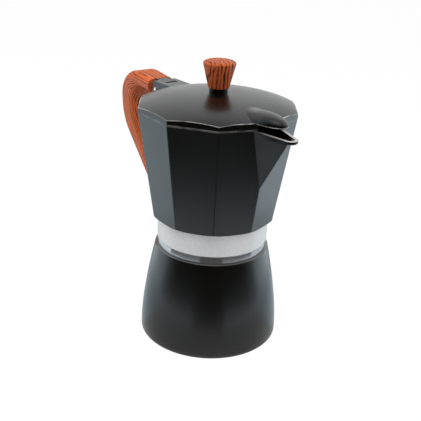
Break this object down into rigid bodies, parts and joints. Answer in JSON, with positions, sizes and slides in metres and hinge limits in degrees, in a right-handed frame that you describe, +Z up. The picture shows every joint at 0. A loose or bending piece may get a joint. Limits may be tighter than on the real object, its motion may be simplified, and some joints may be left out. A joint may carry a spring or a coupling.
{
  "type": "moka pot",
  "caption": "Stove-top coffee maker with a bell-shaped boiler, filter basket, faceted upper chamber with spout, hinged domed lid with knob, and a curved handle.",
  "frame": {"origin": "centre of the boiler's flat underside", "axes": "+Z up along the pot's axis, +X towards the spout, -X towards the handle"},
  "size_m": [0.1988, 0.109, 0.2077],
  "materials": {
    "black_coating": "satin black coating over cast aluminium",
    "bare_aluminium": "plain satin",
    "gasket_rubber": "matt pale silicone",
    "valve_brass": "turned",
    "steel": "bright",
    "wood_finish": "red-brown with dark grain, satin"
  },
  "bodies": {
    "boiler": {"boiler": "black_coating", "valve_body": "valve_brass", "valve_seal": "gasket_rubber", "valve_cap": "valve_brass", "valve_spring": "steel"},
    "piston": {"valve_piston": "valve_brass"},
    "filter": {"basket": "bare_aluminium", "basket_stem": "bare_aluminium", "basket_sieve": "bare_aluminium"},
    "seal": {"gasket": "gasket_rubber", "filter_plate": "bare_aluminium"},
    "collector": {"upper_chamber": "black_coating", "column": "bare_aluminium", "hinge_pin": "steel", "handle": "wood_finish", "handle_screw": "steel"},
    "cover": {"lid": "black_coating", "knob": "wood_finish", "knob_insert": "valve_brass", "knob_washer": "steel", "knob_screw": "steel"}
  },
  "joints": [
    {"name": "valve_lift", "type": "slide", "parent": "boiler", "child": "piston", "axis": [-0.5878, 0.809, 0], "range_m": [0, 0.002], "stiffness_N_per_m": 1500, "springref_m": -0.002, "deforming": ["valve_spring"]},
    {"name": "basket_lift", "type": "slide", "parent": "boiler", "child": "filter", "axis": [0, 0, 1], "range_m": [0, 0.11]},
    {"name": "collector_rise", "type": "slide", "parent": "filter", "child": "seal", "axis": [0, 0, 1], "range_m": [0, 0.0101]},
    {"name": "collector_turn", "type": "hinge", "parent": "seal", "child": "collector", "pos_m": [0, 0, 0.0835], "axis": [0, 0, 1], "range_deg": [0, 900]},
    {"name": "lid_hinge", "type": "hinge", "parent": "collector", "child": "cover", "pos_m": [-0.0665, 0, 0.1739], "axis": [0, -1, 0], "range_deg": [0, 95]}
  ],
  "couplings": [
    {"joint": "collector_rise", "follows": "collector_turn", "m_per_rad": 0.00063662}
  ]
}
